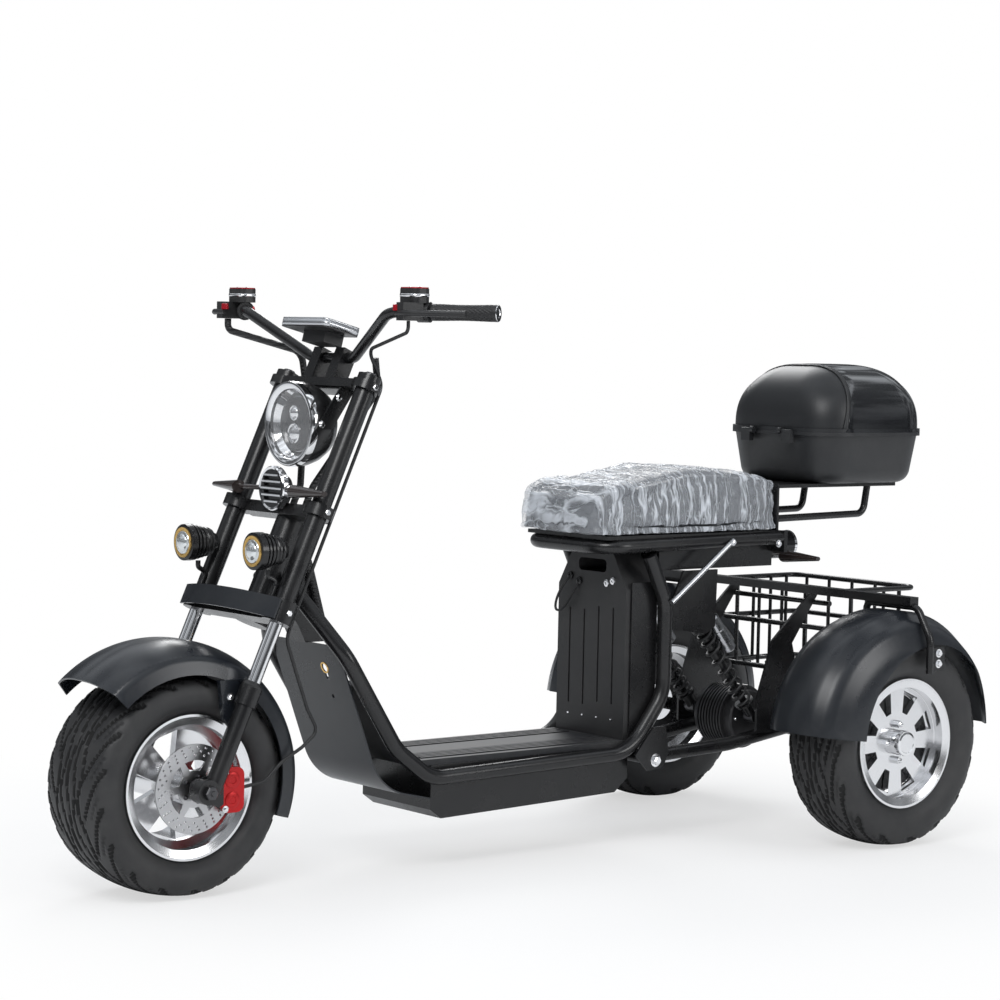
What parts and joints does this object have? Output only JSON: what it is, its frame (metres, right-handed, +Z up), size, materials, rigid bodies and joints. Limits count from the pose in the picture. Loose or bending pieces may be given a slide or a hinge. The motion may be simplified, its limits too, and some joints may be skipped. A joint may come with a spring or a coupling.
{
  "type": "motorized cargo trike",
  "caption": "Motorized trike with a wide front tyre, two rear wheels, deck, long seat, cargo basket and lidded top box.",
  "frame": {"origin": "on the ground under the middle of the whole vehicle's length and width", "axes": "+Z up, the trike drives towards -Y, its left side is +X"},
  "size_m": [0.9966, 2.2022, 1.184],
  "materials": {
    "frame_paint": "gloss black powder coat",
    "body_paint": "gloss black paint",
    "deck_rubber": "ribbed mat",
    "battery_case": "fine grained case",
    "seat_vinyl": "stitched vinyl",
    "tyre_rubber": "road tread",
    "rim_paint": "satin black with bright edges",
    "disc_steel": "ground steel",
    "chrome": "polished",
    "grip_rubber": "diamond pattern",
    "cable_rubber": "spiral wrapped",
    "lever_metal": "satin black",
    "lamp_plastic": "moulded",
    "caliper_red": "red anodised",
    "motor_metal": "cast",
    "box_plastic": "gloss black lid over a grained base"
  },
  "bodies": {
    "chassis": {"frame_left": "frame_paint", "frame_right": "frame_paint", "neck": "frame_paint", "leg_shield": "body_paint", "deck": "deck_rubber", "under_box": "frame_paint", "battery": "battery_case", "battery_bay": "frame_paint", "seat": "seat_vinyl", "seat_frame": "frame_paint", "struts": "frame_paint", "swing_frame": "frame_paint", "pivot_brackets": "frame_paint", "shock_towers": "frame_paint", "shocks": "motor_metal", "motor": "motor_metal", "fender_beam": "frame_paint", "rear_fenders": "body_paint", "basket_rings": "frame_paint", "basket_wires": "frame_paint", "box_rack": "frame_paint", "box_base": "box_plastic", "box_latch": "caliper_red", "box_hinges": "frame_paint", "tail_lamp": "lamp_plastic", "rear_signals": "lamp_plastic", "neck_loom": "cable_rubber"},
    "steering": {"stem": "disc_steel", "stanchions": "chrome", "sliders": "frame_paint", "front_axle": "disc_steel", "upper_tubes": "frame_paint", "lower_clamp": "frame_paint", "clamp_cover": "frame_paint", "mid_clamp": "frame_paint", "top_clamp": "frame_paint", "handlebar": "frame_paint", "grips": "grip_rubber", "brake_levers": "lever_metal", "display": "lamp_plastic", "headlight": "chrome", "lamp_bracket": "frame_paint", "horn": "lamp_plastic", "front_signals": "lamp_plastic", "fog_lamps": "lamp_plastic", "fog_arms": "frame_paint", "front_fender": "body_paint", "caliper": "caliper_red", "caliper_bracket": "frame_paint", "brake_hose": "cable_rubber", "cable_looms": "cable_rubber", "switches": "lever_metal"},
    "front_wheel": {"front_tyre": "tyre_rubber", "front_rim": "rim_paint", "brake_disc": "disc_steel"},
    "rear_wheel_left": {"rear_tyre_left": "tyre_rubber", "rear_rim_left": "rim_paint"},
    "rear_wheel_right": {"rear_tyre_right": "tyre_rubber", "rear_rim_right": "rim_paint"},
    "box_lid": {"box_lid": "box_plastic"}
  },
  "joints": [
    {"name": "steering_turn", "type": "hinge", "parent": "chassis", "child": "steering", "pos_m": [0, -0.6845, 0.5166], "axis": [0, 0.4083, 0.9128], "range_deg": [-35, 35]},
    {"name": "front_wheel_spin", "type": "hinge", "parent": "steering", "child": "front_wheel", "pos_m": [0, -0.879, 0.217], "axis": [1, 0, 0], "continuous": true},
    {"name": "rear_wheel_left_spin", "type": "hinge", "parent": "chassis", "child": "rear_wheel_left", "pos_m": [0.383, 0.728, 0.229], "axis": [1, 0, 0], "continuous": true},
    {"name": "rear_wheel_right_spin", "type": "hinge", "parent": "chassis", "child": "rear_wheel_right", "pos_m": [-0.383, 0.728, 0.229], "axis": [1, 0, 0], "continuous": true},
    {"name": "box_lid_turn", "type": "hinge", "parent": "chassis", "child": "box_lid", "pos_m": [0, 0.7205, 0.8965], "axis": [1, 0, 0], "range_deg": [0, 80]}
  ]
}
